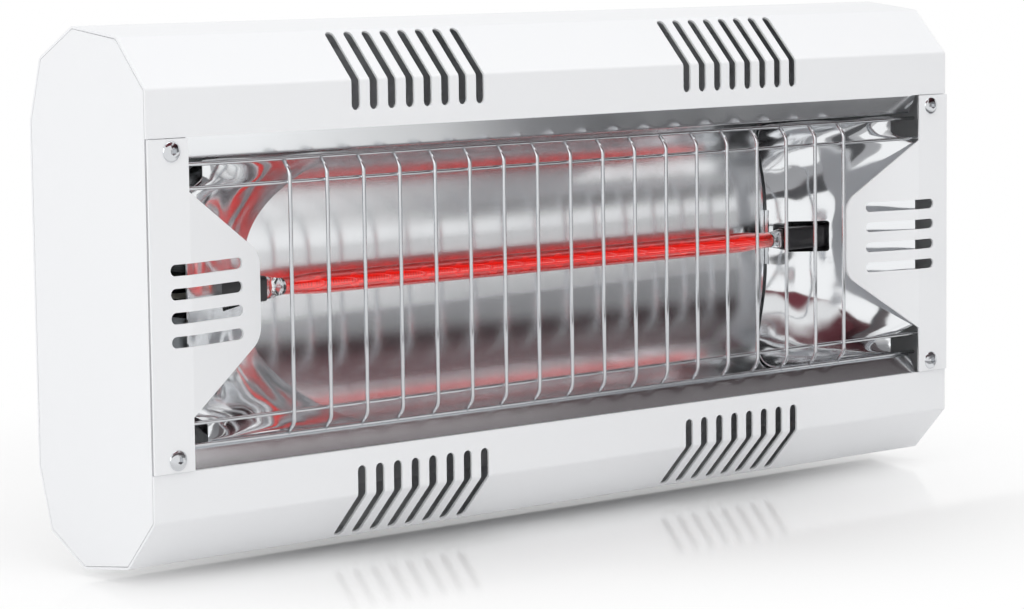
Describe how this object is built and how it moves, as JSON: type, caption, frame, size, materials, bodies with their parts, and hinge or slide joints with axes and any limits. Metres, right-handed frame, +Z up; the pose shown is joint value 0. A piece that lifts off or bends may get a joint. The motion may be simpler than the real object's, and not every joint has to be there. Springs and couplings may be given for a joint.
{
  "type": "electric bar heater",
  "caption": "Wall-mounted infrared bar heater: folded white housing, polished reflector with a red quartz lamp, wire guard and a tilting wall bracket.",
  "frame": {"origin": "middle of the wall plate's back face, where it lies on the wall", "axes": "+X along the lamp, -Y the way the heater faces, +Y into the wall, +Z up"},
  "size_m": [0.5436, 0.1591, 0.2574],
  "materials": {
    "white_paint": "white powder coat, satin",
    "polished_aluminium": "mirror-polished sheet",
    "bright_wire": "bright wire",
    "ruby_quartz": "red-tinted quartz, clear polished",
    "clear_quartz": "clear fused quartz",
    "tungsten": "glowing tungsten coil",
    "dark_ceramic": "dark glazed ceramic",
    "pale_ceramic": "unglazed pale ceramic",
    "glass_sleeve": "braided glass sleeve on nickel wire",
    "earth_sleeve": "green and yellow silicone sleeve",
    "brass": "plain brass",
    "black_nylon": "black moulded nylon",
    "rubber": "black moulded seal",
    "fibre": "pressed fibre washer",
    "bright_screw": "bright plated dome head",
    "zinc_steel": "zinc-plated steel"
  },
  "bodies": {
    "bracket": {"wall_bracket": "white_paint"},
    "heater": {"back_bracket": "white_paint", "bracket_nut_left_bottom": "zinc_steel", "bracket_nut_left_top": "zinc_steel", "bracket_nut_right_bottom": "zinc_steel", "bracket_nut_right_top": "zinc_steel", "bracket_screw_left_bottom": "zinc_steel", "bracket_screw_left_top": "zinc_steel", "bracket_screw_right_bottom": "zinc_steel", "bracket_screw_right_top": "zinc_steel", "cover_screw_left_bottom": "bright_screw", "cover_screw_left_top": "bright_screw", "cover_screw_right_bottom": "bright_screw", "cover_screw_right_top": "bright_screw", "earth_lead": "earth_sleeve", "earth_nut": "zinc_steel", "earth_stud": "zinc_steel", "earth_tag": "brass", "end_plate_left": "white_paint", "end_plate_right": "white_paint", "end_reflector_left": "polished_aluminium", "end_reflector_right": "polished_aluminium", "filament": "tungsten", "friction_washer_left": "fibre", "friction_washer_right": "fibre", "gland_body": "black_nylon", "gland_cap": "black_nylon", "gland_nut": "black_nylon", "gland_seal": "rubber", "holder_screw_left": "zinc_steel", "holder_screw_right": "zinc_steel", "lamp_cap_left": "dark_ceramic", "lamp_cap_right": "dark_ceramic", "lamp_holder_left": "dark_ceramic", "lamp_holder_right": "dark_ceramic", "lamp_lead_left": "glass_sleeve", "lamp_lead_right": "glass_sleeve", "lamp_pinch_left": "clear_quartz", "lamp_pinch_right": "clear_quartz", "pivot_bolt_left": "zinc_steel", "pivot_bolt_right": "zinc_steel", "pivot_washer_left": "zinc_steel", "pivot_washer_right": "zinc_steel", "quartz_tube": "ruby_quartz", "rear_screw_left_bottom": "zinc_steel", "rear_screw_left_top": "zinc_steel", "rear_screw_right_bottom": "zinc_steel", "rear_screw_right_top": "zinc_steel", "reflector_trough": "polished_aluminium", "shell": "white_paint", "side_cover_left": "white_paint", "side_cover_right": "white_paint", "terminal_block": "pale_ceramic", "wing_nut_left": "zinc_steel", "wing_nut_right": "zinc_steel", "wire_guard": "bright_wire"}
  },
  "joints": [
    {"name": "tilt", "type": "hinge", "parent": "bracket", "child": "heater", "pos_m": [0, -0.038, 0], "axis": [1, 0, 0], "range_deg": [0, 30]}
  ]
}
